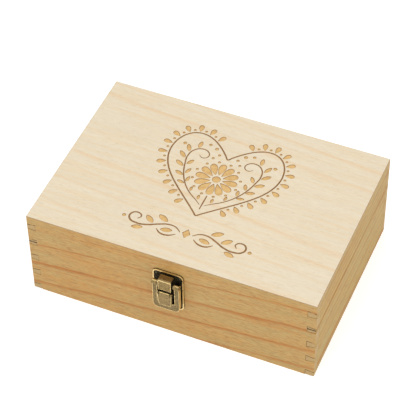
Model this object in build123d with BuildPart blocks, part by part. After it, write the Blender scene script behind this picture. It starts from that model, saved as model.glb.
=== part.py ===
"""Keepsake box: a dovetailed pine box with a hinged lid and a bronze draw latch.

Millimetres. The origin is at the centre of the underside of the wooden box, +X runs along
its length, -Y faces the front with the latch, and +Z is up.
"""

import os
from math import radians, tan

from build123d import *

# ---------------------------------------------------------------- driving dimensions

# Wooden box
box_length = 260.0
box_depth = 180.0
base_height = 60.0
lid_height = 30.0
wall_thickness = 8.0
lid_panel_thickness = 4.0
bottom_panel_thickness = 4.0
bottom_rebate = 4.0
corner_round = 0.8

# Dovetail joints at the four corners, counted up from the underside
pin_pitch = 18.75
pin_width = 6.25
dovetail_angle = 7.5

# Round-headed nails that hold the metal fittings
nail_shank_radius = 0.6
nail_length = 6.0
nail_point_length = 1.6
nail_clearance = 0.03
latch_nail_head_radius = 1.5
latch_nail_head_height = 0.8
hinge_nail_head_radius = 1.2
hinge_nail_head_height = 0.6

# Fits shared by the latch and the hinges
running_clearance = 0.05
side_gap = 0.15
open_gap = 0.3

# Latch: the two dished plates, one on each side of the sawn line
plate_width = 27.6
plate_split = 0.4
plate_floor = 0.8
rim_height = 1.5
rim_width = 1.1
keeper_height = 16.3
keeper_corner_radius = 4.0
latch_base_height = 26.3
latch_base_corner_radius = 5.0
keeper_nail_inset = 3.5
keeper_nail_drop = 4.2
latch_base_nail_spacing = 9.0
latch_base_nail_drop = 20.0

# Latch: the lug on the keeper that the claw hooks over
catch_inset = 1.3
catch_height = 2.6
catch_reach = 2.4
catch_rise = 9.0

# Latch: lever, its pivot pin and the ears that carry it
lever_margin = 1.7
lever_arm_width = 4.3
lever_standoff = 1.9
lever_thickness = 3.4
lever_drop = 24.1
lever_bar_height = 8.9
lever_corner_radius = 5.0
lever_axis_rise = 6.3
lever_axis_depth = 2.4
lever_eye_radius = 2.4
lever_pin_radius = 0.9
lever_pin_head_radius = 1.5
lever_pin_head_height = 0.4
ear_thickness = 0.9
ear_radius = 2.0
ear_foot_height = 12.0
ear_foot_drop = 2.0

# Latch: raised thumb pad on the lever, with the knuckle of the claw along its top
pad_top_rise = 3.4
pad_bottom_rise = 2.0
pad_top_thickness = 2.6
pad_root_depth = 1.2
pad_drop = 17.2
pad_taper = 1.1
pad_corner_radius = 1.6
knuckle_radius = 1.3
knuckle_proud = 0.3
knuckle_drop = 1.5
knuckle_notch_depth = 1.9
link_pin_radius = 0.6

# Latch: claw
claw_inset = 0.95
claw_setback = 0.7
claw_thickness = 1.0
claw_bottom_rise = 2.1
claw_top_rise = 14.0
claw_bend_radius = 1.3
claw_lip_height = 2.0
claw_ear_thickness = 0.8
claw_ear_width = 2.0

# Hinges
hinge_spacing = 150.0
hinge_width = 24.0
hinge_leaf_height = 10.5
hinge_leaf_thickness = 0.8
hinge_leaf_corner_radius = 1.5
hinge_pin_radius = 0.9
hinge_pin_overhang = 0.4
hinge_barrel_standoff = 0.15
hinge_nail_spacing = 15.0
hinge_nail_rise = 6.6

# ---------------------------------------------------------------- planes and derived places

# On a face plane, x runs along the box, y is height, and z points away from the wood.
front_face = Plane(origin=(0, -box_depth / 2, 0), x_dir=(1, 0, 0), z_dir=(0, -1, 0))
back_face = Plane(origin=(0, box_depth / 2, 0), x_dir=(-1, 0, 0), z_dir=(0, 1, 0))

# On a section plane, x is the distance out from the wood and y is height.
front_section = Plane(origin=(0, -box_depth / 2, 0), x_dir=(0, -1, 0), z_dir=(-1, 0, 0))
back_section = Plane(origin=(0, box_depth / 2, 0), x_dir=(0, 1, 0), z_dir=(1, 0, 0))

wall_top = base_height + lid_height - lid_panel_thickness
pin_count = int((wall_top - pin_width) // pin_pitch) + 1
pin_flare = wall_thickness / 2 * tan(radians(dovetail_angle))

keeper_bottom = base_height + plate_split / 2
keeper_top = keeper_bottom + keeper_height
latch_base_top = base_height - plate_split / 2
latch_base_bottom = latch_base_top - latch_base_height

lever_half_width = plate_width / 2 - lever_margin
arm_inner = lever_half_width - lever_arm_width
ear_outer = arm_inner - side_gap
ear_inner = ear_outer - ear_thickness
pad_half_width = ear_inner - side_gap
claw_half_width = ear_inner - claw_inset
claw_ear_outer = claw_half_width - side_gap
claw_ear_inner = claw_ear_outer - claw_ear_thickness

lever_back = rim_height + lever_standoff
lever_front = lever_back + lever_thickness
pad_top_front = lever_front + pad_top_rise
pad_bottom_front = lever_front + pad_bottom_rise
lever_axis = (lever_back + lever_axis_depth, base_height + lever_axis_rise)
link_axis = (pad_top_front + knuckle_proud - knuckle_radius, base_height - knuckle_drop)

hinge_barrel_radius = hinge_pin_radius + running_clearance + hinge_leaf_thickness
hinge_axis = (hinge_barrel_radius + hinge_barrel_standoff, base_height)
hinge_cutback = hinge_barrel_radius + open_gap
knuckle_width = hinge_width / 3

keeper_nail_points = [
    (side * (plate_width / 2 - keeper_nail_inset), keeper_top - keeper_nail_drop) for side in (-1, 1)
]
latch_base_nail_points = [
    (side * latch_base_nail_spacing / 2, base_height - latch_base_nail_drop) for side in (-1, 1)
]


def hinge_nail_points(direction):
    """Nail places of both hinges on the back face: direction is 1 on the lid, -1 on the base."""
    return [
        (hinge * hinge_spacing / 2 + side * hinge_nail_spacing / 2,
         base_height + direction * hinge_nail_rise)
        for hinge in (-1, 1)
        for side in (-1, 1)
    ]


os.makedirs("parts", exist_ok=True)


def save(piece, name):
    """Label a finished piece and write it as its own file."""
    piece.part.label = name
    export_step(piece.part, f"parts/{name}.step")


# ---------------------------------------------------------------- wooden boards


def pin_profiles(side, low, high):
    """Draw the dovetail pins of one end of the box, seen from the front, between two heights.

    A pin is the end grain of a side board. It is narrow at the corner of the box and wider
    inside, so the long board's tails cannot slide off it. The lowest pin is flat underneath.
    """
    outer_x = side * box_length / 2
    inner_x = side * (box_length / 2 - wall_thickness)
    narrow_half = pin_width / 2 - pin_flare
    wide_half = pin_width / 2 + pin_flare
    for number in range(pin_count):
        middle = pin_width / 2 + number * pin_pitch
        Polygon(
            (outer_x, middle - narrow_half if number else 0),
            (outer_x, middle + narrow_half),
            (inner_x, middle + wide_half),
            (inner_x, middle - wide_half if number else 0),
            align=None,
        )
    with Locations((0, (low + high) / 2)):
        Rectangle(box_length, high - low, mode=Mode.INTERSECT)


def bottom_panel_outline():
    """Draw the outline of the bottom panel, which is let into the rebates of all four walls."""
    inset = 2 * (wall_thickness - bottom_rebate)
    Rectangle(box_length - inset, box_depth - inset)


def nail_holes(points):
    """Draw the round holes that nails pass through."""
    with Locations(*points):
        Circle(nail_shank_radius + nail_clearance)


def outer_corner_edges(board):
    """Choose the upright edges of a board that lie on the four outer corners of the box."""
    return board.edges().filter_by(Axis.Z).filter_by(
        lambda edge: abs(edge.center().X) > box_length / 2 - corner_round
        and abs(edge.center().Y) > box_depth / 2 - corner_round
    )


def side_board(side, low, high):
    """Make the left or right wall of one course: a plain board with pins at both ends."""
    with BuildPart() as board:
        with BuildSketch(front_face):
            pin_profiles(side, low, high)
        extrude(amount=-box_depth)
        with BuildSketch(Plane.XY.offset(low)):
            with Locations((side * (box_length - wall_thickness) / 2, 0)):
                Rectangle(wall_thickness, box_depth - 2 * wall_thickness)
        extrude(amount=high - low)
        with BuildSketch(Plane.XY):
            bottom_panel_outline()
        extrude(amount=bottom_panel_thickness, mode=Mode.SUBTRACT)
        fillet(outer_corner_edges(board), corner_round)
    return board


def long_board(side, low, high, face, nail_points):
    """Make the front or back wall of one course: tails at both ends, and holes for nails."""
    with BuildPart() as board:
        with BuildSketch(Plane.XY.offset(low)):
            with Locations((0, side * (box_depth - wall_thickness) / 2)):
                Rectangle(box_length, wall_thickness)
        extrude(amount=high - low)
        with BuildSketch(front_face):
            for end in (-1, 1):
                pin_profiles(end, low, high)
        extrude(amount=-box_depth, mode=Mode.SUBTRACT)
        with BuildSketch(Plane.XY):
            bottom_panel_outline()
        extrude(amount=bottom_panel_thickness, mode=Mode.SUBTRACT)
        fillet(outer_corner_edges(board), corner_round)
        with BuildSketch(face):
            nail_holes(nail_points)
        extrude(amount=-nail_length, mode=Mode.SUBTRACT)
    return board


courses = {
    "base": (0, base_height, latch_base_nail_points, hinge_nail_points(-1)),
    "lid": (base_height, wall_top, keeper_nail_points, hinge_nail_points(1)),
}
for course, (low, high, front_nails, back_nails) in courses.items():
    save(side_board(-1, low, high), f"{course}_left_board")
    save(side_board(1, low, high), f"{course}_right_board")
    save(long_board(-1, low, high, front_face, front_nails), f"{course}_front_board")
    save(long_board(1, low, high, back_face, back_nails), f"{course}_back_board")

with BuildPart() as bottom_panel:
    with BuildSketch(Plane.XY):
        bottom_panel_outline()
    extrude(amount=bottom_panel_thickness)
save(bottom_panel, "bottom_panel")

# The lid panel is glued over the walls and reaches all four outer faces.
with BuildPart() as lid_panel:
    with BuildSketch(Plane.XY.offset(wall_top)):
        Rectangle(box_length, box_depth)
    extrude(amount=lid_panel_thickness)
    fillet(lid_panel.edges().filter_by(Axis.Z), corner_round)
    fillet(lid_panel.edges().group_by(Axis.Z)[-1], corner_round)
save(lid_panel, "lid_panel")

# ---------------------------------------------------------------- nails


def nail(head_radius, head_height):
    """Make one round-headed nail, with the underside of its head at the origin."""
    with BuildPart() as pattern:
        with BuildSketch(Plane.XZ):
            with BuildLine():
                TangentArc((0, head_height), (head_radius, 0), tangent=(1, 0))
                Polyline(
                    (head_radius, 0),
                    (nail_shank_radius, 0),
                    (nail_shank_radius, nail_point_length - nail_length),
                    (0, -nail_length),
                    (0, head_height),
                )
            make_face()
        revolve(axis=Axis.Z)
    return pattern


def nail_group(pattern, face, seat, points):
    """Set a copy of one nail at each point of a face, its head on a plate of given thickness."""
    with BuildPart(face.offset(seat)) as group:
        with Locations(*points):
            add(pattern.part)
    return group


latch_nail = nail(latch_nail_head_radius, latch_nail_head_height)
hinge_nail = nail(hinge_nail_head_radius, hinge_nail_head_height)
save(nail_group(latch_nail, front_face, plate_floor, keeper_nail_points), "keeper_nails")
save(nail_group(latch_nail, front_face, plate_floor, latch_base_nail_points), "latch_base_nails")
for name, direction in (("hinge_base_nails", -1), ("hinge_lid_nails", 1)):
    points = hinge_nail_points(direction)
    save(nail_group(hinge_nail, back_face, hinge_leaf_thickness, points), name)

# ---------------------------------------------------------------- latch plates


def plate_outline(low, high, half_width, rounded_end, radius):
    """Draw a plate from low to high with its two corners at one end rounded: -1 low, 1 high."""
    with BuildSketch(mode=Mode.PRIVATE) as outline:
        with Locations((0, (low + high) / 2)):
            Rectangle(2 * half_width, high - low)
        end = -1 if rounded_end > 0 else 0
        fillet(outline.vertices().group_by(Axis.Y)[end], radius)
    add(outline.sketch)


# The keeper is pressed sheet, with a raised rim on the three sides away from the sawn line
# and a lug for the claw.
with BuildPart() as keeper_plate:
    with BuildSketch(front_face):
        plate_outline(keeper_bottom, keeper_top, plate_width / 2, 1, keeper_corner_radius)
    extrude(amount=rim_height)
    with BuildSketch(front_face.offset(plate_floor)):
        plate_outline(
            keeper_bottom,
            keeper_top - rim_width,
            plate_width / 2 - rim_width,
            1,
            keeper_corner_radius - rim_width,
        )
    extrude(amount=rim_height - plate_floor, mode=Mode.SUBTRACT)
    with BuildSketch(front_face):
        nail_holes(keeper_nail_points)
    extrude(amount=plate_floor, mode=Mode.SUBTRACT)
    with BuildSketch(front_section):
        with BuildLine():
            Polyline(
                (0, base_height + catch_rise),
                (catch_reach, base_height + catch_rise + catch_height / 2),
                (catch_reach, base_height + catch_rise + catch_height),
                (0, base_height + catch_rise + catch_height),
                close=True,
            )
        make_face()
    extrude(amount=claw_half_width - catch_inset, both=True)
save(keeper_plate, "keeper_plate")

# The latch base is a matching plate. Its two ears rise past the sawn line and carry the lever.
with BuildPart() as latch_base_plate:
    with BuildSketch(front_face):
        plate_outline(
            latch_base_bottom, latch_base_top, plate_width / 2, -1, latch_base_corner_radius
        )
    extrude(amount=rim_height)
    with BuildSketch(front_face.offset(plate_floor)):
        plate_outline(
            latch_base_bottom + rim_width,
            latch_base_top,
            plate_width / 2 - rim_width,
            -1,
            latch_base_corner_radius - rim_width,
        )
    extrude(amount=rim_height - plate_floor, mode=Mode.SUBTRACT)
    with BuildSketch(front_face):
        nail_holes(latch_base_nail_points)
    extrude(amount=plate_floor, mode=Mode.SUBTRACT)
    foot_top = base_height - ear_foot_drop
    for start in (ear_inner, -ear_outer):
        with BuildSketch(front_section.offset(start)):
            with Locations((plate_floor * 3 / 4, foot_top - ear_foot_height / 2)):
                Rectangle(plate_floor / 2, ear_foot_height)
            with Locations(lever_axis):
                Circle(ear_radius)
            make_hull()
            with Locations(lever_axis):
                Circle(lever_pin_radius, mode=Mode.SUBTRACT)
        extrude(amount=ear_thickness)
save(latch_base_plate, "latch_base_plate")

# ---------------------------------------------------------------- latch lever and claw

with BuildPart() as lever_pin:
    with BuildSketch(front_section):
        with Locations(lever_axis):
            Circle(lever_pin_radius)
    extrude(amount=lever_half_width + side_gap, both=True)
    for start in (lever_half_width + side_gap, -lever_half_width - side_gap - lever_pin_head_height):
        with BuildSketch(front_section.offset(start)):
            with Locations(lever_axis):
                Circle(lever_pin_head_radius)
        extrude(amount=lever_pin_head_height)
save(lever_pin, "lever_pin")

lever_bottom = base_height - lever_drop
pad_bottom = base_height - pad_drop

# The thumb pad is a tongue that narrows downwards and slopes back into the lever's bar.
with BuildPart() as thumb_pad:
    with BuildSketch(front_face) as pad_outline:
        with BuildLine():
            Polyline(
                (-pad_half_width, link_axis[1]),
                (-pad_half_width + pad_taper, pad_bottom),
                (pad_half_width - pad_taper, pad_bottom),
                (pad_half_width, link_axis[1]),
                close=True,
            )
        make_face()
        fillet(pad_outline.vertices().group_by(Axis.Y)[0], pad_corner_radius)
    extrude(amount=pad_top_front)
    with BuildSketch(front_section):
        with BuildLine():
            Polyline(
                (lever_front - pad_root_depth, pad_bottom),
                (pad_bottom_front, pad_bottom),
                (pad_top_front, link_axis[1]),
                (pad_top_front - pad_top_thickness, link_axis[1]),
                close=True,
            )
        make_face()
    extrude(amount=pad_half_width, both=True, mode=Mode.INTERSECT)

with BuildPart() as latch_lever:
    # Two arms joined by a bar at the bottom.
    with BuildSketch(front_face.offset(lever_back)):
        plate_outline(lever_bottom, lever_axis[1], lever_half_width, -1, lever_corner_radius)
        with Locations((0, lever_bottom + lever_bar_height)):
            Rectangle(
                2 * arm_inner,
                lever_axis[1] - lever_bottom,
                align=(Align.CENTER, Align.MIN),
                mode=Mode.SUBTRACT,
            )
    extrude(amount=lever_thickness)
    # Round eyes at the tops of the arms.
    for start in (arm_inner, -lever_half_width):
        with BuildSketch(front_section.offset(start)):
            with Locations(lever_axis):
                Circle(lever_eye_radius)
        extrude(amount=lever_arm_width)
    add(thumb_pad.part)
    # Knuckle along the top of the pad.
    with BuildSketch(front_section):
        with Locations(link_axis):
            Circle(knuckle_radius)
    extrude(amount=pad_half_width, both=True)
    # Notches for the claw's two ears.
    for start in (claw_ear_inner - side_gap, -claw_ear_outer - side_gap):
        with BuildSketch(front_section.offset(start)):
            with Locations((link_axis[0], link_axis[1] - knuckle_notch_depth)):
                Rectangle(
                    4 * knuckle_radius,
                    knuckle_notch_depth + 2 * knuckle_radius,
                    align=(Align.CENTER, Align.MIN),
                )
        extrude(amount=claw_ear_thickness + 2 * side_gap, mode=Mode.SUBTRACT)
    # Bores for the two pins.
    with BuildSketch(front_section):
        with Locations(lever_axis):
            Circle(lever_pin_radius + running_clearance)
        with Locations(link_axis):
            Circle(link_pin_radius)
    extrude(amount=lever_half_width, both=True, mode=Mode.SUBTRACT)
save(latch_lever, "latch_lever")

with BuildPart() as link_pin:
    with BuildSketch(front_section):
        with Locations(link_axis):
            Circle(link_pin_radius)
    extrude(amount=pad_half_width, both=True)
save(link_pin, "link_pin")

# The claw is one bent strip: a front panel, a web over the top and a lip that hooks down in
# front of the keeper. Two ears at its foot turn on the link pin.
claw_front = link_axis[0] + claw_thickness / 2 - claw_setback
claw_back = catch_reach + open_gap
claw_bottom = base_height + claw_bottom_rise
claw_top = base_height + claw_top_rise

with BuildPart() as latch_claw:
    with BuildSketch(front_section) as strip:
        with BuildLine():
            Polyline(
                (claw_front, claw_bottom),
                (claw_front, claw_top),
                (claw_back, claw_top),
                (claw_back, claw_top - claw_lip_height),
                (claw_back + claw_thickness, claw_top - claw_lip_height),
                (claw_back + claw_thickness, claw_top - claw_thickness),
                (claw_front - claw_thickness, claw_top - claw_thickness),
                (claw_front - claw_thickness, claw_bottom),
                close=True,
            )
        make_face()
        fillet(strip.vertices().sort_by_distance((claw_front, claw_top))[0], claw_bend_radius)
    extrude(amount=claw_half_width, both=True)
    for start in (claw_ear_inner, -claw_ear_outer):
        with BuildSketch(front_section.offset(start)):
            with Locations(link_axis):
                Circle(knuckle_radius)
            with Locations((claw_front, claw_bottom)):
                Rectangle(claw_ear_width, claw_ear_width, align=(Align.MAX, Align.MIN))
            make_hull()
            with Locations(link_axis):
                Circle(link_pin_radius + running_clearance, mode=Mode.SUBTRACT)
        extrude(amount=claw_ear_thickness)
save(latch_claw, "latch_claw")

# ---------------------------------------------------------------- hinges


def hinge_leaf(middle, direction, knuckles):
    """Make one leaf of a butt hinge: direction is 1 for the lid's leaf, -1 for the base's.

    The leaf lies flat on the back of the box, and its knuckles, counted from the middle of
    the hinge, curl round the pin at the sawn line.
    """
    nails = [point for point in hinge_nail_points(direction) if abs(point[0] - middle) < hinge_width]
    flat_height = hinge_leaf_height - hinge_cutback
    with BuildPart() as leaf:
        with BuildSketch(back_face) as outline:
            with Locations((middle, base_height + direction * (hinge_cutback + flat_height / 2))):
                Rectangle(hinge_width, flat_height)
            outer_end = -1 if direction > 0 else 0
            fillet(outline.vertices().group_by(Axis.Y)[outer_end], hinge_leaf_corner_radius)
            for knuckle in knuckles:
                with Locations((
                    middle + knuckle * knuckle_width,
                    base_height + direction * hinge_cutback / 2,
                )):
                    Rectangle(knuckle_width - side_gap, hinge_cutback)
        extrude(amount=hinge_leaf_thickness)
        for knuckle in knuckles:
            start = -middle + knuckle * knuckle_width - (knuckle_width - side_gap) / 2
            with BuildSketch(back_section.offset(start)):
                with Locations(hinge_axis):
                    Circle(hinge_barrel_radius)
            extrude(amount=knuckle_width - side_gap)
        with BuildSketch(back_section.offset(-middle)):
            with Locations(hinge_axis):
                Circle(hinge_pin_radius + running_clearance)
        extrude(amount=hinge_width / 2, both=True, mode=Mode.SUBTRACT)
        with BuildSketch(back_face):
            nail_holes(nails)
        extrude(amount=hinge_leaf_thickness, mode=Mode.SUBTRACT)
    return leaf


# The back face is seen from behind, so its x runs the other way from the box's.
for name, middle in (("left_hinge", hinge_spacing / 2), ("right_hinge", -hinge_spacing / 2)):
    save(hinge_leaf(middle, -1, (-1, 1)), f"{name}_base_leaf")
    save(hinge_leaf(middle, 1, (0,)), f"{name}_lid_leaf")
    with BuildPart() as hinge_pin:
        with BuildSketch(back_section.offset(-middle)):
            with Locations(hinge_axis):
                Circle(hinge_pin_radius)
        extrude(amount=hinge_width / 2 + hinge_pin_overhang, both=True)
    save(hinge_pin, f"{name}_pin")
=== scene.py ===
from math import atan2, cos, pi, radians, sin

import bmesh
import bpy
from mathutils import Matrix, Vector


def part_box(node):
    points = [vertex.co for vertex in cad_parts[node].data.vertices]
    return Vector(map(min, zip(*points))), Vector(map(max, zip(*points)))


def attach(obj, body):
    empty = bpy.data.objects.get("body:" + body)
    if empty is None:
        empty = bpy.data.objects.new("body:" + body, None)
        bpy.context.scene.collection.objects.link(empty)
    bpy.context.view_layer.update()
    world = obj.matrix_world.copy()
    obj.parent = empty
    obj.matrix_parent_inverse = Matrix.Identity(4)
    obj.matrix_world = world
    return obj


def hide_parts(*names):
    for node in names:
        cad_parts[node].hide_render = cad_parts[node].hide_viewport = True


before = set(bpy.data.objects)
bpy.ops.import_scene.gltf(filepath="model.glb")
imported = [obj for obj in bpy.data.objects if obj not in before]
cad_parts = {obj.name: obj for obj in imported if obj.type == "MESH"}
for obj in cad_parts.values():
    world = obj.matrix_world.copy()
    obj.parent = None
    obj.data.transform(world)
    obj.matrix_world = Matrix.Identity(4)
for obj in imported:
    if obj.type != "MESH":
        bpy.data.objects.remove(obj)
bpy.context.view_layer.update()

# ---------------------------------------------------------------- front and back boards
# Plain-sawn pine, 8 mm thick, cut with dovetail tails at both ends and glued to the side
# boards. Each was one board before the box was sawn into base and lid, so the growth rings
# run straight across the sawn line. The arrises are sanded by hand.

MILLIMETRE = 0.001
ARRIS = 0.16 * MILLIMETRE
TAN = (0.482, 0.306, 0.103)
HONEY = (0.480, 0.249, 0.059)
OLIVE_TAN = (0.425, 0.303, 0.110)
LATEWOOD = (0.395, 0.142, 0.012)
FLECK = (0.29, 0.130, 0.030)
RING_FADE_IN, RING_FADE_OUT = 2.4, 0.8
STREAK_SHARE = FLECK_SHARE = 0.55


def node(tree, kind, inputs=(), **settings):
    """Add a shader node. Settings are its own properties, inputs are values or links."""
    made = tree.nodes.new(kind)
    for setting, value in settings.items():
        setattr(made, setting, value)
    for socket, value in dict(inputs).items():
        if isinstance(value, bpy.types.NodeSocket):
            tree.links.new(value, made.inputs[socket])
        else:
            made.inputs[socket].default_value = value
    return made


def maths(tree, operation, first, second=0.0):
    """One step of arithmetic on a value."""
    return node(tree, "ShaderNodeMath", {0: first, 1: second}, operation=operation).outputs[0]


def blend_colours(tree, share, below, above):
    """Mix two colours by a share from 0 to 1."""
    sockets = {0: share, 6: below, 7: above}
    return node(tree, "ShaderNodeMix", sockets, data_type="RGBA").outputs[2]


def rgba(colour):
    """A colour with full opacity."""
    return (*colour, 1.0)


def shaded(tree, colour, shade):
    """Multiply a colour by a shade."""
    sockets = {0: 1.0, 6: colour, 7: shade}
    return node(tree, "ShaderNodeMix", sockets, data_type="RGBA", blend_type="MULTIPLY").outputs[2]


def ramp(tree, value, stops):
    """Read a value through a grey curve of (place, brightness) stops."""
    curve = node(tree, "ShaderNodeValToRGB", {0: value})
    elements = curve.color_ramp.elements
    while len(elements) < len(stops):
        elements.new(0.5)
    for element, (place, brightness) in zip(elements, stops):
        element.position = place
        element.color = (brightness, brightness, brightness, 1.0)
    curve.color_ramp.interpolation = "EASE"
    return curve.outputs[0]


def stretched_noise(tree, place, along, length, width, detail=3.0, seed=0.0):
    """Noise in flecks of a given length along one axis and width across it, in metres."""
    scale = [1 / width] * 3
    scale[along] = 1 / length
    mapped = node(tree, "ShaderNodeMapping", {0: place, 1: (seed, seed, seed), 3: scale})
    noise = node(tree, "ShaderNodeTexNoise", {0: mapped.outputs[0], 2: 1.0, 3: detail})
    return noise.outputs[0]


def new_material(name):
    """A fresh material with its tree, its main shader and its place in the object."""
    material = bpy.data.materials.new(name)
    material.use_nodes = True
    tree = material.node_tree
    place = node(tree, "ShaderNodeTexCoord").outputs["Object"]
    return material, tree, tree.nodes["Principled BSDF"], place


def swell(tree, place, along, length, width, height, seed):
    """A slow rise and fall about zero, drawn out along the board."""
    noise = stretched_noise(tree, place, along, length, width, 2.0, seed)
    return maths(tree, "MULTIPLY", maths(tree, "SUBTRACT", noise, 0.5), height)


def pine(
    name, along, across, rings, slope, seed, colours, ring_colour, span=(-0.040, 0.120), coarseness=1.0,
):
    """Sawn pine: growth rings drawn as (place, width, strength) lines that rise by slope."""
    material, tree, shader, place = new_material(name)
    split = node(tree, "ShaderNodeSeparateXYZ", {0: place})
    length, height = split.outputs[along], split.outputs[across]
    # Rings follow the height above a slowly wandering line.
    wander = swell(tree, place, along, 0.11, 0.045, 0.0060, seed)
    ripple = swell(tree, place, along, 0.020, 0.006, 0.0016, seed + 3)
    level = maths(tree, "SUBTRACT", height, maths(tree, "MULTIPLY", length, slope))
    level = maths(tree, "ADD", level, maths(tree, "ADD", wander, ripple))
    low, high = span
    share = node(tree, "ShaderNodeMapRange", {0: level, 1: low, 2: high}).outputs[0]
    stops = [(0.0, 0.0)]
    for ring, width, strength in sorted(rings):
        for offset, value in ((-RING_FADE_IN, 0.0), (0.0, strength), (RING_FADE_OUT, 0.0)):
            stops.append(((ring + offset * width - low) / (high - low), value))
    lines = ramp(tree, share, stops)
    fade = stretched_noise(tree, place, along, 0.060, 0.012, 3.0, seed + 7)
    fade = ramp(tree, fade, [(0.30, 0.45), (0.62, 1.0)])
    lines = maths(tree, "MULTIPLY", lines, fade)
    # Broad patches, soft streaks, fine fibre and the short dark flecks of resin canals.
    patch = stretched_noise(tree, place, along, 0.110, 0.013, 3.0, seed + 11)
    patch = ramp(tree, patch, [(0.34, 0.0), (0.66, 0.62)])
    speckle = stretched_noise(tree, place, along, 0.0060, 0.0016, 2.0, seed + 31)
    speckle = ramp(tree, speckle, [(0.40, 0.0), (0.60, 0.38)])
    patch = maths(tree, "ADD", patch, speckle)
    streak = stretched_noise(tree, place, along, 0.070, 0.0030, 3.0, seed + 17)
    streak = ramp(tree, streak, [(0.44, 0.0), (0.62, 1.0)])
    fibre = stretched_noise(tree, place, along, 0.0060, 0.00055, 3.0, seed + 23)
    fleck = stretched_noise(tree, place, along, 0.0050, 0.0008, 1.0, seed + 29)
    fleck = ramp(tree, fleck, [(0.60, 0.0), (0.70, 1.0)])
    warm, cool, plain = colours
    colour = blend_colours(tree, patch, rgba(warm), rgba(cool))
    colour = blend_colours(tree, maths(tree, "MULTIPLY", streak, STREAK_SHARE), colour, rgba(plain))
    colour = blend_colours(tree, lines, colour, rgba(ring_colour))
    fleck = maths(tree, "MULTIPLY", fleck, FLECK_SHARE * coarseness)
    colour = blend_colours(tree, fleck, colour, rgba(FLECK))
    # The dark fibres are warmer than the wood between them.
    dark_tint = (1.0 - 0.12 * coarseness, 1.0 - 0.19 * coarseness, 1.0 - 0.30 * coarseness)
    light_tint = [1.0 + 0.07 * coarseness] * 3
    light_fibre = ramp(tree, fibre, [(0.32, 0.0), (0.66, 1.0)])
    shade = blend_colours(tree, light_fibre, rgba(dark_tint), rgba(light_tint))
    tree.links.new(shaded(tree, colour, shade), shader.inputs["Base Color"])
    rough = node(tree, "ShaderNodeMapRange", {0: fibre, 3: 0.52, 4: 0.70}).outputs[0]
    tree.links.new(rough, shader.inputs["Roughness"])
    relief = maths(tree, "ADD", fibre, maths(tree, "MULTIPLY", lines, 0.6))
    bump = node(tree, "ShaderNodeBump", {0: 0.30 * coarseness, 1: 0.00008, "Height": relief})
    tree.links.new(bump.outputs[0], shader.inputs["Normal"])
    return material


def end_grain(name):
    """Sawn ends: darker and greyer than the face, with close rings and open pores."""
    material, tree, shader, place = new_material(name)
    ring = node(tree, "ShaderNodeTexNoise", {0: place, 2: 260.0, 3: 2.0, 8: 0.6}).outputs[0]
    pore = node(tree, "ShaderNodeTexNoise", {0: place, 2: 2600.0, 3: 2.0}).outputs[0]
    colour = blend_colours(tree, ring, rgba((0.40, 0.262, 0.104)), rgba((0.49, 0.325, 0.132)))
    shade = ramp(tree, pore, [(0.35, 0.84), (0.65, 1.08)])
    tree.links.new(shaded(tree, colour, shade), shader.inputs["Base Color"])
    shader.inputs["Roughness"].default_value = 0.75
    bump = node(tree, "ShaderNodeBump", {0: 0.3, 1: 0.0001, "Height": pore})
    tree.links.new(bump.outputs[0], shader.inputs["Normal"])
    return material


def eased_copy(name, width, segments=2, sharper_than=radians(25)):
    """A merged copy of a CAD node with its sharp edges eased. Returns it with its new faces."""
    shape = bmesh.new()
    shape.from_mesh(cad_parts[name].data)
    bmesh.ops.remove_doubles(shape, verts=shape.verts, dist=0.002 * MILLIMETRE)
    bmesh.ops.dissolve_limit(shape, angle_limit=radians(0.5), verts=shape.verts, edges=shape.edges)
    folds = [edge for edge in shape.edges if len(edge.link_faces) == 2]
    sharp = [edge for edge in folds if edge.calc_face_angle() > sharper_than]
    eased = bmesh.ops.bevel(
        shape, geom=sharp, offset=width, offset_type="OFFSET", segments=segments, profile=0.5,
        affect="EDGES", material=-1, clamp_overlap=True, miter_outer="SHARP",
    )
    return shape, eased["faces"]


def finish_piece(shape, name, nodes, body, materials):
    """Turn a bmesh into a piece that stands for CAD nodes, rides on a body and has a slot."""
    mesh = bpy.data.meshes.new(name)
    for face in shape.faces:
        face.smooth = True
    shape.to_mesh(mesh)
    shape.free()
    mesh.set_sharp_from_angle(angle=radians(40))
    for material in materials:
        mesh.materials.append(material)
    piece = bpy.data.objects.new(name, mesh)
    bpy.context.scene.collection.objects.link(piece)
    piece.modifiers.new("even_shading", "WEIGHTED_NORMAL").keep_sharp = True
    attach(piece, body)
    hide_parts(*nodes)
    return piece


long_grain = {
    "front": pine(
        "front_board_pine", 0, 2,
        [(0.0880, 0.0009, 0.40), (0.0705, 0.0008, 1.00), (0.0625, 0.0007, 0.40), (0.0460, 0.0021, 1.00),
         (0.0395, 0.0008, 0.35), (0.0215, 0.0017, 0.90), (-0.0015, 0.0014, 0.85), (-0.0240, 0.0013, 0.70)],
        0.095, 0.0, (HONEY, OLIVE_TAN, TAN), LATEWOOD,
    ),
    "back": pine(
        "back_board_pine", 0, 2,
        [(0.012, 0.0013, 0.60), (0.034, 0.0015, 0.80), (0.057, 0.0010, 0.55), (0.076, 0.0014, 0.70)],
        -0.06, 40.0, (HONEY, OLIVE_TAN, TAN), LATEWOOD,
    ),
}
board_ends = end_grain("sawn_ends")
PLAIN, SAWN = 0, 1

for course in ("base", "lid"):
    for side, grain in long_grain.items():
        shape, eased = eased_copy(f"{course}_{side}_board", ARRIS)
        for face in shape.faces:
            face.material_index = SAWN if abs(face.normal.x) > 0.9 else PLAIN
        finish_piece(
            shape, f"{course}_{side}_wall", [f"{course}_{side}_board"], course,
            [grain, board_ends],
        )

# ---------------------------------------------------------------- side boards
# The two short walls, of the same pine, with the dovetail pins. The ends of the pins show on
# the front and back faces as end grain.

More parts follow.
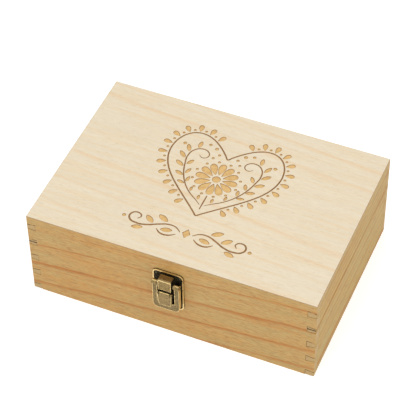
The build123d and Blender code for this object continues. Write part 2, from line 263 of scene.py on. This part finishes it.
STRAW = (0.412, 0.256, 0.053)
REED = (0.392, 0.306, 0.108)
AMBER = (0.355, 0.155, 0.008)
GOLD_STRAW = (0.425, 0.238, 0.036)
side_grain = {
    "left": pine(
        "left_board_pine", 1, 2,
        [(0.018, 0.0013, 0.60), (0.041, 0.0015, 0.75), (0.066, 0.0012, 0.60), (0.083, 0.0009, 0.50)],
        0.03, 80.0, (TAN, REED, STRAW), LATEWOOD,
    ),
    "right": pine(
        "right_board_pine", 1, 2,
        [(0.0815, 0.0020, 1.00), (0.0745, 0.0012, 0.90), (0.0680, 0.0011, 0.80), (0.0600, 0.0026, 1.00),
         (0.0510, 0.0011, 0.65), (0.0425, 0.0016, 0.85), (0.0340, 0.0009, 0.55), (0.0255, 0.0014, 0.75),
         (0.0070, 0.0030, 1.00)],
        -0.02, 120.0, (STRAW, REED, GOLD_STRAW), AMBER,
    ),
}


def joint_gap():
    """The eased rims of the pins: dark where glue and dust fill a gap, plain where it is tight."""
    material, tree, shader, place = new_material("joint_gaps")
    filled = node(tree, "ShaderNodeTexNoise", {0: place, 2: 190.0, 3: 3.0}).outputs[0]
    filled = ramp(tree, filled, [(0.42, 0.0), (0.50, 1.0)])
    colour = blend_colours(tree, filled, rgba((0.40, 0.27, 0.11)), rgba((0.080, 0.034, 0.011)))
    tree.links.new(colour, shader.inputs["Base Color"])
    shader.inputs["Roughness"].default_value = 0.8
    return material


GAP_EASE = 0.62 * MILLIMETRE
front_of_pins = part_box("base_right_board")[0].y
back_of_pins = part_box("base_right_board")[1].y
gaps = joint_gap()
FILLED = 2

for course in ("base", "lid"):
    for side, grain in side_grain.items():
        shape, eased = eased_copy(f"{course}_{side}_board", GAP_EASE, segments=1)
        for face in shape.faces:
            face.material_index = SAWN if abs(face.normal.y) > 0.9 else PLAIN
        # Glue and dust fill the gaps above and below each pin. Its other rims are plain end grain.
        for face in eased:
            middle = face.calc_center_median()
            at_end = min(middle.y - front_of_pins, back_of_pins - middle.y) < GAP_EASE
            slanting = 0.2 < abs(face.normal.y) < 0.95
            if at_end and slanting:
                face.material_index = FILLED if abs(face.normal.z) > 0.3 else SAWN
        finish_piece(
            shape, f"{course}_{side}_wall", [f"{course}_{side}_board"], course,
            [grain, board_ends, gaps],
        )

# ---------------------------------------------------------------- bottom panel
# A thin pine panel let into the rebates of the four walls. Only its inside face and its
# underside show.

inside_pine = pine(
    "bottom_board_pine", 0, 1,
    [(0.062, 0.0026, 0.40), (0.018, 0.0030, 0.30), (-0.021, 0.0022, 0.40), (-0.060, 0.0030, 0.35)],
    0.05, 160.0, ((0.66, 0.46, 0.235), (0.62, 0.46, 0.25), (0.70, 0.51, 0.28)), (0.56, 0.33, 0.14),
    span=(-0.12, 0.12), coarseness=0.6,
)
shape, eased = eased_copy("bottom_panel", ARRIS)
finish_piece(shape, "bottom_board", ["bottom_panel"], "base", [inside_pine])

# ---------------------------------------------------------------- lid panel
# A pale, close-grained pine panel glued over the walls. A laser has cut an ornament into its
# top: fine lines are scorched brown, and larger shapes are cleared to a flat toasted floor.

# The ornament's centre is in metres. Its other sizes are in millimetres and its angles in
# radians, except the headings of the leaves.
ORNAMENT_CENTRE = (0.001, 0.011)
GROOVE = 0.64
CLEARED_WALL = 0.04
SCORCHED_EDGE = 0.40
HEART_SIZE = 3.2
HEART_RISE = 2.5
HEART_POINTS = 40
DROPS_A_SIDE = 12
FIRST_DROP, DROP_STEP = 0.62, 0.175
DROP_LENGTH, DROP_WIDTH, DROP_GAP = 7.4, 3.9, 2.0
DROP_PEAK = 0.77
SMALL_DOT, SMALL_DOT_GAP = 0.8, 3.2
FLOWER = (0.0, -1.0)
PETALS = 12
PETAL_LENGTH, PETAL_WIDTH, PETAL_START = 12.6, 5.9, 6.0
FLOWER_DOT, FLOWER_DOT_RING = 0.9, 20.6
FLOWER_MIDDLE = 3.3
VINE_LEAF_WIDTH, SCROLL_LEAF_WIDTH = 0.40, 0.44
SCROLL_MIDDLE = 1.0
PALE = (0.775, 0.670, 0.500)
CREAM = (0.81, 0.710, 0.535)
BLUSH = (0.80, 0.635, 0.415)
ROSY = (0.79, 0.570, 0.340)
panel_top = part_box("lid_panel")[1].z


def heart_point(angle):
    """A point of the heart's outline."""
    x = 16 * sin(angle) * abs(sin(angle))
    y = 13 * cos(angle) - 5 * cos(2 * angle) - 2 * cos(3 * angle) - cos(4 * angle) + HEART_RISE
    return HEART_SIZE * x, HEART_SIZE * y


def heart_normal(angle):
    """The heading straight out of the heart's outline."""
    before, after = heart_point(angle - 0.01), heart_point(angle + 0.01)
    return atan2(after[0] - before[0], before[1] - after[1])


def set_out(x, y, heading, out, aside=0.0):
    """The point that lies a way out from x, y along a heading, and a way aside from it."""
    return x + out * cos(heading) - aside * sin(heading), y + out * sin(heading) + aside * cos(heading)


def teardrop(x, y, heading, length, width, points=28):
    """A closed drop that starts sharp at x, y and ends round, towards its heading."""
    outline = []
    for step in range(points):
        angle = 2 * pi * step / points
        out = length * (1 - cos(angle)) / 2
        aside = width / 2 * sin(angle) * sin(angle / 2) / DROP_PEAK
        outline.append(set_out(x, y, heading, out, aside))
    return outline


def leaf(x, y, heading, length, width, points=24):
    """A closed leaf, sharp at both ends."""
    outline = []
    for step in range(points):
        angle = 2 * pi * step / points
        out = length * (1 - cos(angle)) / 2
        aside = width / 2 * sin(angle) * abs(sin(angle)) ** 0.5
        outline.append(set_out(x, y, heading, out, aside))
    return outline


def dot(x, y, radius, points=16):
    """A closed round spot."""
    return [set_out(x, y, 2 * pi * step / points, radius) for step in range(points)]


def new_curve(name):
    """An empty curve for engraved work."""
    curve = bpy.data.curves.new(name, "CURVE")
    curve.resolution_u = 8
    return curve


def add_outline(curve, outline):
    """Add a closed outline to a flat curve."""
    spline = curve.splines.new("POLY")
    spline.points.add(len(outline) - 1)
    for point, (x, y) in zip(spline.points, outline):
        point.co = (x, y, 0, 1)
    spline.use_cyclic_u = True


def add_line(curve, points, thickness=1.0, closed=False, taper=0.45):
    """Add an engraved line through its points, fuller in the middle than at its ends."""
    spline = curve.splines.new("BEZIER")
    spline.bezier_points.add(len(points) - 1)
    for number, (point, (x, y)) in enumerate(zip(spline.bezier_points, points)):
        point.co = (x, y, 0)
        point.handle_left_type = point.handle_right_type = "AUTO"
        share = number / (len(points) - 1)
        point.radius = thickness * (1 if closed else taper + (1 - taper) * sin(pi * share) ** 0.6)
    spline.use_cyclic_u = closed


def add_leaves(side, leaves, width_share, middle=0.0):
    """Add one side's leaves, each given by its foot, its heading in degrees and its length."""
    for x, y, turn, length in leaves:
        heading = radians(turn if side > 0 else 180 - turn)
        add_outline(cleared, leaf(side * x + middle, y, heading, length, width_share * length))


def cutter_from(curve, name):
    """Turn a curve drawn in millimetres into a mesh object on the lid's top."""
    flat = bpy.data.objects.new(name, curve)
    bpy.context.scene.collection.objects.link(flat)
    bpy.context.view_layer.update()
    mesh = bpy.data.meshes.new_from_object(flat.evaluated_get(bpy.context.evaluated_depsgraph_get()))
    bpy.data.objects.remove(flat)
    mesh.transform(Matrix.Translation((*ORNAMENT_CENTRE, panel_top)) @ Matrix.Scale(MILLIMETRE, 4))
    joined = bmesh.new()
    joined.from_mesh(mesh)
    bmesh.ops.remove_doubles(joined, verts=joined.verts, dist=0.001 * MILLIMETRE)
    bmesh.ops.recalc_face_normals(joined, faces=joined.faces)
    joined.to_mesh(mesh)
    joined.free()
    cutter = bpy.data.objects.new(name, mesh)
    bpy.context.scene.collection.objects.link(cutter)
    return cutter


lines = new_curve("engraved_lines")
lines.dimensions = "3D"
lines.bevel_depth = GROOVE
lines.bevel_resolution = 1
lines.use_fill_caps = True
cleared = new_curve("cleared_shapes")
cleared.dimensions = "2D"
cleared.fill_mode = "BOTH"
cleared.extrude = CLEARED_WALL
cleared.bevel_depth = SCORCHED_EDGE
cleared.bevel_resolution = 0

# The heart, with drops and dots standing round it.
heart = [heart_point(2 * pi * (step + 0.5) / HEART_POINTS) for step in range(HEART_POINTS)]
add_line(lines, heart, thickness=1.1, closed=True)
for side in (-1, 1):
    for step in range(DROPS_A_SIDE):
        angle = side * (FIRST_DROP + DROP_STEP * step)
        heading = heart_normal(angle)
        start = set_out(*heart_point(angle), heading, DROP_GAP)
        add_outline(cleared, teardrop(*start, heading, DROP_LENGTH, DROP_WIDTH))
        if step < DROPS_A_SIDE - 1:
            angle += side * DROP_STEP / 2
            middle = set_out(*heart_point(angle), heart_normal(angle), SMALL_DOT_GAP)
            add_outline(cleared, dot(*middle, SMALL_DOT))

# The flower, its stem and the two leafy vines that curl up beside it.
for petal in range(PETALS):
    heading = 2 * pi * petal / PETALS
    start = set_out(*FLOWER, heading, PETAL_START)
    add_outline(cleared, teardrop(*start, heading, PETAL_LENGTH, PETAL_WIDTH))
    between = heading + pi / PETALS
    add_outline(cleared, dot(*set_out(*FLOWER, between, FLOWER_DOT_RING), FLOWER_DOT))
add_outline(cleared, dot(*FLOWER, FLOWER_MIDDLE, 28))
add_line(lines, [(0.0, -21.5), (0.0, -27.0), (0.0, -33.0), (0.0, -38.5)], taper=0.7)
vine = [
    (2.0, -33.5), (7.0, -29.5), (13.5, -25.0), (19.6, -19.3), (25.0, -12.0), (29.5, -3.0), (32.5, 7.0),
    (34.0, 16.0), (31.5, 24.5), (25.0, 28.5), (18.5, 26.5), (17.0, 21.5), (21.0, 18.5), (25.0, 20.8),
]
outer_leaves = [
    (24.3, -15.2, 12, 6.2), (29.2, -6.6, 20, 7.5), (33.2, 3.4, 30, 8.5), (35.6, 13.6, 42, 8.5),
    (34.9, 22.2, 62, 8.0), (28.9, 29.0, 92, 7.5),
]
inner_leaves = [
    (6.0, -28.0, 86, 4.6), (15.4, -21.4, 82, 4.6), (23.3, -12.4, 98, 6.0), (27.6, -3.4, 112, 6.5),
    (30.6, 7.0, 122, 7.0),
]
loose_dots = [(8.6, 26.6, 1.0), (13.5, 32.8, 1.3), (20.5, 35.6, 1.1), (12.4, 21.5, 0.9), (42.0, 29.5, 1.3)]
for side in (-1, 1):
    add_line(lines, [(side * x, y) for x, y in vine])
    add_leaves(side, outer_leaves + inner_leaves, VINE_LEAF_WIDTH)
    for x, y, radius in loose_dots:
        add_outline(cleared, dot(side * x, y, radius))

# The flourish below the heart: mirrored scrolls and leaves about a lozenge.
scroll = [
    (5.5, -68.5), (11, -64.5), (18, -64.0), (26, -67.0), (34, -70.8), (43, -72.4), (51, -69.5),
    (51.5, -63.5), (46.5, -61.0), (42.5, -64.0), (44.5, -67.5),
]
curl = [(8, -72.0), (14, -75.5), (20.5, -75.5), (25.5, -72.0)]
scroll_leaves = [
    (20.0, -61.4, 28, 10.0), (31.0, -67.0, 38, 9.5), (12.5, -69.4, -12, 9.5), (37.0, -75.0, -16, 9.0),
]
lozenge = [(0.0, -63.5), (3.2, -68.0), (0.0, -72.5), (-3.2, -68.0)]
for side in (-1, 1):
    for points in (scroll, curl):
        add_line(lines, [(side * x + SCROLL_MIDDLE, y) for x, y in points], thickness=1.35)
    add_outline(cleared, dot(side * 56.5 + SCROLL_MIDDLE, -68.0, 1.3))
    add_leaves(side, scroll_leaves, SCROLL_LEAF_WIDTH, SCROLL_MIDDLE)
add_outline(cleared, [(x + SCROLL_MIDDLE, y) for x, y in lozenge])

line_cutter = cutter_from(lines, "line_cutter")
clearing_cutter = cutter_from(cleared, "clearing_cutter")
LID_TOP, SCORCHED, TOASTED, EDGE, LID_END, PAINTED_EDGE_SHADE = 0, 1, 2, 3, 4, 5
for face in line_cutter.data.polygons:
    face.material_index = SCORCHED
for face in clearing_cutter.data.polygons:
    face.material_index = TOASTED if abs(face.normal.z) > 0.9 else SCORCHED

lid_top_pine = pine(
    "lid_top_pine", 0, 1,
    [(0.084, 0.0016, 0.70), (0.074, 0.0009, 0.45), (0.060, 0.0022, 0.70), (0.047, 0.0009, 0.35),
     (0.012, 0.0010, 0.25), (-0.017, 0.0022, 0.65), (-0.034, 0.0012, 0.55), (-0.050, 0.0015, 0.45),
     (-0.078, 0.0018, 0.40)],
    -0.11, 200.0, (PALE, CREAM, BLUSH), ROSY, span=(-0.12, 0.12), coarseness=0.20,
)
shape, eased = eased_copy("lid_panel", ARRIS, sharper_than=radians(50))
# The eased top arrises of the lid are coloured darker brown as painted shade.
for face in shape.faces:
    if abs(face.normal.z) > 0.9:
        face.material_index = LID_TOP
    elif face.normal.z > 0.35:
        face.material_index = PAINTED_EDGE_SHADE
    else:
        face.material_index = LID_END if abs(face.normal.x) > 0.9 else EDGE


def plain_wood(name, low, high, scale):
    """Plain wood mottled at one scale, used for wood darkened by the laser's heat and for painted shade on
    the lid's eased edges.
    """
    material, tree, shader, place = new_material(name)
    mottle = node(tree, "ShaderNodeTexNoise", {0: place, 2: scale, 3: 3.0}).outputs[0]
    colour = blend_colours(tree, ramp(tree, mottle, [(0.35, 0.0), (0.65, 1.0)]), rgba(low), rgba(high))
    tree.links.new(colour, shader.inputs["Base Color"])
    shader.inputs["Roughness"].default_value = 0.8
    bump = node(tree, "ShaderNodeBump", {0: 0.3, 1: 0.0001, "Height": mottle})
    tree.links.new(bump.outputs[0], shader.inputs["Normal"])
    return material


scorched = plain_wood("scorched_lines", (0.30, 0.155, 0.055), (0.42, 0.235, 0.095), 900.0)
toasted = plain_wood("toasted_floor", (0.655, 0.408, 0.152), (0.760, 0.492, 0.197), 320.0)
# The dark brown of the lid's eased top edges is painted shade.
painted_edge_shade_wood = plain_wood("lid_edge_painted_shade", (0.36, 0.235, 0.125), (0.44, 0.30, 0.17), 500.0)
lid = finish_piece(
    shape, "lid_top", ["lid_panel"], "lid",
    [lid_top_pine, scorched, toasted, long_grain["front"], board_ends, painted_edge_shade_wood],
)
for cutter in (line_cutter, clearing_cutter):
    cut = lid.modifiers.new("laser_cut", "BOOLEAN")
    cut.operation = "DIFFERENCE"
    cut.solver = "EXACT"
    cut.use_self = True
    cut.object = cutter
bpy.context.view_layer.update()
lid.modifiers["even_shading"].show_viewport = False
carved = bpy.data.meshes.new_from_object(lid.evaluated_get(bpy.context.evaluated_depsgraph_get()))
carved.set_sharp_from_angle(angle=radians(30))
lid.data = carved
for cut in [step for step in lid.modifiers if step.type == "BOOLEAN"]:
    lid.modifiers.remove(cut)
lid.modifiers["even_shading"].show_viewport = True
for cutter in (line_cutter, clearing_cutter):
    bpy.data.objects.remove(cutter)

# ---------------------------------------------------------------- latch plates
# Two dished plates pressed from sheet and bronzed, one nailed to the lid and one to the
# base. Handling has polished their rims and the fronts of their sides to bare brass, and the
# recesses keep a black patina. The feet of the sides, next to the wood, are painted black as a
# painted shadow.

BRONZE = (0.345, 0.240, 0.097)
BRONZE_DARK = (0.155, 0.111, 0.046)
BRASS = (0.88, 0.68, 0.33)
BRASS_DARK = (0.58, 0.41, 0.16)
# Black patina for the recesses, also used as a painted shadow at the feet of the plates' sides.
BLACK_PATINA_AND_SHADOW = (0.022, 0.018, 0.011)
BLACK_PATINA_AND_SHADOW_LIGHT = (0.125, 0.100, 0.052)


def bronze(name, colour, tarnish, roughness, grain=1400.0, share=(0.35, 0.70)):
    """Bronzed metal, mottled with tarnish and finely scratched."""
    material, tree, shader, place = new_material(name)
    mottle = node(tree, "ShaderNodeTexNoise", {0: place, 2: grain, 3: 4.0}).outputs[0]
    mottle = ramp(tree, mottle, [(share[0], 0.0), (share[1], 1.0)])
    scratch = stretched_noise(tree, place, 2, 0.0030, 0.00018, 2.0, 5.0)
    mixed = blend_colours(tree, mottle, rgba(colour), rgba(tarnish))
    shade = ramp(tree, scratch, [(0.30, 0.86), (0.70, 1.10)])
    tree.links.new(shaded(tree, mixed, shade), shader.inputs["Base Color"])
    shader.inputs["Metallic"].default_value = 1.0
    smooth, rough = roughness - 0.08, roughness + 0.12
    worn = node(tree, "ShaderNodeMapRange", {0: mottle, 3: smooth, 4: rough}).outputs[0]
    tree.links.new(worn, shader.inputs["Roughness"])
    bump = node(tree, "ShaderNodeBump", {0: 0.15, 1: 0.00003, "Height": scratch})
    tree.links.new(bump.outputs[0], shader.inputs["Normal"])
    return material


aged_bronze = bronze("aged_bronze", BRONZE, BRONZE_DARK, 0.42)
# Brass for worn edges, also used as a painted highlight on the tops of the lever's eyes and knuckle.
brass_wear_and_highlight = bronze("brass_wear_and_highlight", BRASS, BRASS_DARK, 0.34)
black_patina_and_shadow = bronze(
    "black_patina_and_painted_shadow", BLACK_PATINA_AND_SHADOW, BLACK_PATINA_AND_SHADOW_LIGHT, 0.60, grain=1500.0, share=(0.44, 0.66),
)
AGED, WORN_AND_HIGHLIGHT, BLACK = 0, 1, 2
PLATE_EASE = 0.30 * MILLIMETRE
RIM = 1.0 * MILLIMETRE
RIM_BAND = 0.12 * MILLIMETRE
WORN_SIDE = 0.70 * MILLIMETRE
rim_height = 1.48 * MILLIMETRE
front_of_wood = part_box("base_front_board")[0].y


def divide(shape, faces, point, outward):
    """Cut faces along a plane, to part one finish from another."""
    chosen = set(faces)
    edges = [edge for edge in shape.edges if chosen.intersection(edge.link_faces)]
    corners = [corner for corner in shape.verts if chosen.intersection(corner.link_faces)]
    bmesh.ops.bisect_plane(
        shape, geom=faces + edges + corners, dist=0.001 * MILLIMETRE, plane_co=point, plane_no=outward,
    )


for plate_name, body in (("latch_base_plate", "base"), ("keeper_plate", "lid")):
    low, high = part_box(plate_name)
    shape, eased = eased_copy(plate_name, PLATE_EASE, segments=3)
    for face in eased:
        face.material_index = WORN_AND_HIGHLIGHT
    divide(shape, shape.faces[:], Vector((0, front_of_wood - WORN_SIDE, 0)), Vector((0, -1, 0)))
    # Rims and side fronts are worn brass, recesses black patina, and side feet painted black as a painted
    # shadow.
    for face in shape.faces:
        middle = face.calc_center_median()
        proud = front_of_wood - middle.y
        at_end = not low.z + PLATE_EASE < middle.z < high.z - PLATE_EASE
        at_side = at_end or abs(middle.x) > high.x - PLATE_EASE
        inside = abs(middle.x) < high.x - RIM
        inside = inside and (middle.z > low.z + RIM if body == "base" else middle.z < high.z - RIM)
        if rim_height - RIM_BAND < proud < rim_height + RIM_BAND and face.normal.y < -0.2:
            face.material_index = WORN_AND_HIGHLIGHT
        elif inside and proud < rim_height + RIM_BAND:
            face.material_index = BLACK
        elif at_side:
            face.material_index = WORN_AND_HIGHLIGHT if proud > WORN_SIDE else BLACK
    finish_piece(
        shape, f"{plate_name}_bronzed", [plate_name], body,
        [aged_bronze, brass_wear_and_highlight, black_patina_and_shadow],
    )

# ---------------------------------------------------------------- latch lever
# A bronzed casting: two arms with round eyes, joined by a bar, and a raised thumb pad with a
# knuckle along its top. It turns on a pin through the ears of the base plate. The flat has a
# pressed border, and every edge that a thumb or a pocket rubs is worn to brass. The tops of the
# eyes and of the knuckle are coloured brass as a painted highlight.

arm_bronze = bronze("arm_bronze", (0.275, 0.200, 0.090), (0.130, 0.098, 0.044), 0.44)
ARM = 3
LEVER_EASE = 0.30 * MILLIMETRE
BORDER = 0.42 * MILLIMETRE
SUNK = 0.06 * MILLIMETRE
lever_front = front_of_wood - 6.8 * MILLIMETRE
eye_middle = 66.3 * MILLIMETRE
pad_top, pad_bottom = 58.5 * MILLIMETRE, 42.8 * MILLIMETRE
pad_half_width, pad_taper = 6.6 * MILLIMETRE, 1.1 * MILLIMETRE
knuckle_foot = pad_top - 3.0 * MILLIMETRE
knuckle_end = pad_half_width - 0.2 * MILLIMETRE


def pad_faces(shape):
    """The sloping front of the thumb pad."""
    faces = []
    for face in shape.faces:
        middle = face.calc_center_median()
        if face.normal.y < -0.9 and middle.y < lever_front - BORDER and pad_bottom < middle.z < pad_top:
            faces.append(face)
    return faces


shape, eased = eased_copy("latch_lever", LEVER_EASE)
for face in eased:
    face.material_index = WORN_AND_HIGHLIGHT
for face in shape.faces:
    middle = face.calc_center_median()
    if abs(middle.x) > pad_half_width + BORDER:
        # The arms: worn outside and black inside, with a painted highlight in brass over the tops of the
        # eyes.
        if abs(face.normal.x) > 0.8:
            face.material_index = WORN_AND_HIGHLIGHT if face.normal.x * middle.x > 0 else BLACK
        if middle.z > eye_middle and face.normal.z > 0.88:
            face.material_index = WORN_AND_HIGHLIGHT
    elif middle.z > knuckle_foot:
        # The knuckle: aged, with a brass line along its top that is a painted highlight.
        if face.material_index == WORN_AND_HIGHLIGHT and abs(middle.x) < knuckle_end:
            face.material_index = AGED
        if middle.z > pad_top and face.normal.z > 0.80:
            face.material_index = WORN_AND_HIGHLIGHT
# The flat of the two arms and the bar has a pressed border.
flats = []
for face in shape.faces:
    if face.normal.y < -0.99 and abs(face.calc_center_bounds().y - lever_front) < BORDER:
        flats.append(face)
for flat in flats:
    bmesh.ops.inset_individual(shape, faces=[flat], thickness=BORDER, depth=0.0, use_even_offset=True)
    for edge in flat.edges:
        for border in edge.link_faces:
            border.material_index = WORN_AND_HIGHLIGHT
    flat.material_index = ARM
    bmesh.ops.translate(shape, vec=(0, SUNK, 0), verts=flat.verts)
# The pad has a worn margin down its sides and along its foot.
margins = [(Vector((0, 0, pad_bottom + BORDER)), Vector((0, 0, -1)))]
for side in (-1, 1):
    outward = Vector((side * (pad_top - pad_bottom), 0, -pad_taper)).normalized()
    margins.append((Vector((side * pad_half_width, 0, pad_top)) - BORDER * outward, outward))
for point, outward in margins:
    divide(shape, pad_faces(shape), point, outward)
for face in pad_faces(shape):
    middle = face.calc_center_median()
    if any((middle - point).dot(outward) > 0 for point, outward in margins):
        face.material_index = WORN_AND_HIGHLIGHT
finish_piece(
    shape, "latch_lever_bronzed", ["latch_lever"], "latch_lever",
    [aged_bronze, brass_wear_and_highlight, black_patina_and_shadow, arm_bronze],
)

# ---------------------------------------------------------------- latch claw
# One bent strip of the same bronzed brass. Its panel has a pressed border, and its web over the
# top is coloured brown as a painted dark reflection. A black band across the foot of the panel
# and the fronts of its two ears is a painted shadow of the slot above the pad. The ears turn
# on the pad's link pin.

web_reflection_paint = bronze("web_painted_reflection", (0.34, 0.225, 0.090), (0.15, 0.100, 0.045), 0.45)
# Near-black for the band painted across the claw's foot as the shadow of the slot.
slot_painted_shadow = bronze("slot_painted_shadow", (0.010, 0.008, 0.006), (0.026, 0.021, 0.013), 0.75)
PAINTED_WEB_REFLECTION, PAINTED_SLOT_SHADOW = 2, 3
CLAW_EASE = 0.24 * MILLIMETRE
claw_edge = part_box("latch_claw")[1].x - BORDER
claw_bend = 72.7 * MILLIMETRE - BORDER
claw_foot = 62.1 * MILLIMETRE
claw_front = front_of_wood - 9.0 * MILLIMETRE
panel_depth = 0.3 * MILLIMETRE
# The painted shadow of the slot reaches down to this level.
slot_shadow_foot = pad_top + 1.0 * MILLIMETRE

shape, eased = eased_copy("latch_claw", CLAW_EASE)
for face in eased:
    face.material_index = WORN_AND_HIGHLIGHT
cuts = [(Vector((0, 0, level)), Vector((0, 0, 1))) for level in (claw_foot, claw_foot + BORDER, claw_bend)]
cuts += [(Vector((side * claw_edge, 0, 0)), Vector((side, 0, 0))) for side in (-1, 1)]
for point, outward in cuts:
    divide(shape, [face for face in shape.faces if face.normal.y < -0.3], point, outward)
for face in shape.faces:
    middle = face.calc_center_median()
    # The web's top faces are coloured brown as a painted dark reflection.
    if face.normal.z > 0.7 and middle.z > claw_bend:
        face.material_index = PAINTED_WEB_REFLECTION
    if face.normal.y > -0.3:
        continue
    on_panel = face.normal.y < -0.9 and abs(middle.y - claw_front) < panel_depth
    # Below the panel's foot a black band is painted as the shadow of the slot; under it the finish stays
    # aged.
    if middle.z < claw_foot:
        face.material_index = PAINTED_SLOT_SHADOW if middle.z > slot_shadow_foot else AGED
    elif on_panel:
        inside = abs(middle.x) < claw_edge and claw_foot + BORDER < middle.z < claw_bend
        face.material_index = AGED if inside else WORN_AND_HIGHLIGHT
finish_piece(
    shape, "latch_claw_bronzed", ["latch_claw"], "latch_claw",
    [aged_bronze, brass_wear_and_highlight, web_reflection_paint, slot_painted_shadow],
)

# ---------------------------------------------------------------- hinges
# Two butt hinges of the same bronzed sheet, nailed on behind. Each lid leaf has the middle
# knuckle and each base leaf the outer two, round a steel pin with a bronze wash.

hinge_bronze = bronze("hinge_bronze", (0.27, 0.20, 0.085), (0.12, 0.088, 0.040), 0.45)
HINGE_EASE = 0.14 * MILLIMETRE

for hinge in ("left_hinge", "right_hinge"):
    for leaf_name, body in (("base_leaf", "base"), ("lid_leaf", "lid")):
        shape, eased = eased_copy(f"{hinge}_{leaf_name}", HINGE_EASE)
        for face in eased:
            face.material_index = WORN_AND_HIGHLIGHT
        finish_piece(
            shape, f"{hinge}_{leaf_name}_bronzed", [f"{hinge}_{leaf_name}"], body,
            [hinge_bronze, brass_wear_and_highlight],
        )

# ---------------------------------------------------------------- pins and nails
# Turned pins, riveted at the ends, and round-headed nails driven into the wood. The pins are
# worn a little brighter, and the nails keep most of their black.

pin_bronze = bronze("pin_bronze", (0.34, 0.26, 0.12), (0.16, 0.12, 0.055), 0.38)
nail_bronze = bronze("nail_bronze", (0.125, 0.100, 0.055), (0.030, 0.025, 0.015), 0.50, grain=1100.0)
finishes = {
    pin_bronze: ("lever_pin", "link_pin", "left_hinge_pin", "right_hinge_pin"),
    nail_bronze: ("keeper_nails", "latch_base_nails", "hinge_base_nails", "hinge_lid_nails"),
}
for finish, names in finishes.items():
    for name in names:
        for material_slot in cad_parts[name].material_slots:
            material_slot.link = "OBJECT"
            material_slot.material = finish

# ---------------------------------------------------------------- floor, light and camera
# A plain white floor that glows a little, a soft white sky, and two large soft lamps, one
# over the front left and one at the right. The camera has a long lens and looks down at the
# box from the front right.

FLOOR_HALF_WIDTH = 3.0
FLOOR_DROP = 0.05 * MILLIMETRE
SKY_BRIGHTNESS = 0.86
box_middle = Vector((0, 0, 0.05))

floor_shape = bmesh.new()
bmesh.ops.create_grid(floor_shape, x_segments=1, y_segments=1, size=FLOOR_HALF_WIDTH)
bmesh.ops.translate(floor_shape, vec=(0, 0, -FLOOR_DROP), verts=floor_shape.verts)
floor_mesh = bpy.data.meshes.new("floor")
floor_shape.to_mesh(floor_mesh)
floor_shape.free()
floor = bpy.data.objects.new("floor", floor_mesh)
floor_paint = bpy.data.materials.new("white_floor")
floor_paint.use_nodes = True
floor_shader = floor_paint.node_tree.nodes["Principled BSDF"]
floor_shader.inputs["Base Color"].default_value = (0.93, 0.93, 0.93, 1)
floor_shader.inputs["Roughness"].default_value = 0.9
floor_shader.inputs["Emission Color"].default_value = (0.97, 0.98, 1.0, 1)
floor_shader.inputs["Emission Strength"].default_value = 0.39
floor_mesh.materials.append(floor_paint)
bpy.context.scene.collection.objects.link(floor)

world = bpy.data.worlds.new("studio")
world.use_nodes = True
world.node_tree.nodes["Background"].inputs[0].default_value = (1.0, 1.0, 1.0, 1)
world.node_tree.nodes["Background"].inputs[1].default_value = SKY_BRIGHTNESS
bpy.context.scene.world = world


def soft_lamp(name, power, size, place):
    """A square area lamp at a place, turned towards the box."""
    lamp = bpy.data.lights.new(name, "AREA")
    lamp.energy = power
    lamp.size = size
    lit = bpy.data.objects.new(name, lamp)
    lit.location = place
    lit.rotation_mode = "QUATERNION"
    lit.rotation_quaternion = (box_middle - Vector(place)).to_track_quat("-Z", "Y")
    bpy.context.scene.collection.objects.link(lit)


soft_lamp("key_lamp", 5.8, 1.4, (-0.45, -0.9, 1.5))
soft_lamp("side_lamp", 4.6, 1.2, (1.5, -0.3, 0.9))

camera_place = Vector((0.40476, -0.93902, 1.15609))
view_azimuth, view_elevation, view_roll = radians(23.462), radians(46.882), radians(-0.785)
camera_data = bpy.data.cameras.new("camera")
camera_data.sensor_width = 36.0
camera_data.lens = 150.79
camera = bpy.data.objects.new("camera", camera_data)
turn = (
    Matrix.Rotation(view_azimuth, 4, "Z")
    @ Matrix.Rotation(pi / 2 - view_elevation, 4, "X")
    @ Matrix.Rotation(view_roll, 4, "Z")
)
camera.matrix_world = Matrix.Translation(camera_place) @ turn
bpy.context.scene.collection.objects.link(camera)
bpy.context.scene.camera = camera
bpy.context.scene.view_settings.view_transform = "Standard"
